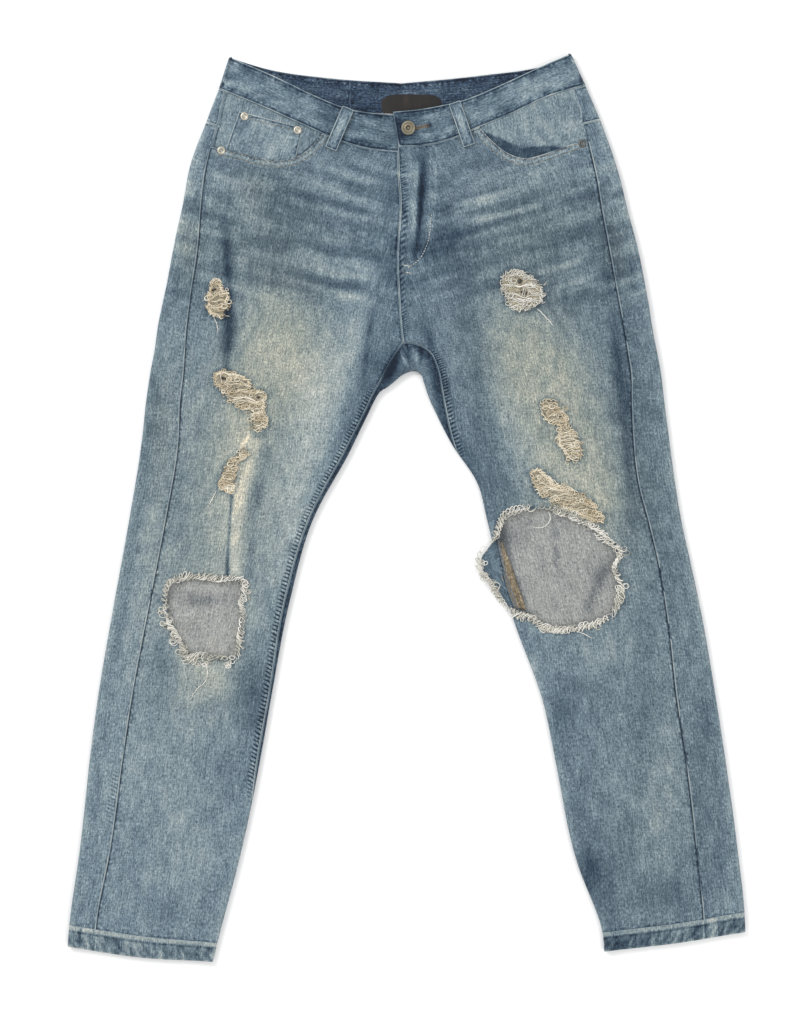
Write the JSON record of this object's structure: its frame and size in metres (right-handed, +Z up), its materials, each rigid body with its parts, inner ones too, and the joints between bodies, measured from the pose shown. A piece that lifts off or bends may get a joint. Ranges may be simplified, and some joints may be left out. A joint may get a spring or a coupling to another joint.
{
  "type": "ripped jeans",
  "caption": "Light-wash ripped denim jeans lying flat on their back, with frayed open knees, worn patches, tapered legs, a buttoned fly, belt loops and scoop pockets.",
  "frame": {"origin": "centre of the footprint, on the surface that the jeans lie on", "axes": "+Y towards the waist, +Z up from the surface out of the jeans' front, so the wearer's right leg is at -X"},
  "size_m": [0.792, 1.06, 0.0135],
  "materials": {
    "denim": "light blue right-hand twill denim, faded on the thighs and knees, darker at the seams",
    "pocket_cloth": "the same denim, less worn, seen in the pocket mouths",
    "label_leather": "thin dark brown leather, blank",
    "zip_metal": "brushed brass zip, closed behind the fly",
    "antique_brass": "antique brass, dark in its hollows",
    "rivet_metal": "worn nickel"
  },
  "bodies": {
    "root": {"front_right": "denim", "front_left": "denim", "back_right": "denim", "back_left": "denim", "yoke_right": "denim", "yoke_left": "denim", "waistband": "denim", "hem_right": "denim", "hem_left": "denim", "loop_front_right": "denim", "loop_front_left": "denim", "loop_back_right": "denim", "loop_back_centre": "denim", "loop_back_left": "denim", "coin_pocket": "denim", "pocket_facing_right": "pocket_cloth", "pocket_facing_left": "pocket_cloth", "back_pocket_right": "denim", "back_pocket_left": "denim", "label": "label_leather", "zip": "zip_metal", "button": "antique_brass", "rivet_coin_outer": "rivet_metal", "rivet_coin_inner": "rivet_metal", "rivet_pocket_right": "rivet_metal", "rivet_pocket_left": "rivet_metal"}
  },
  "joints": []
}
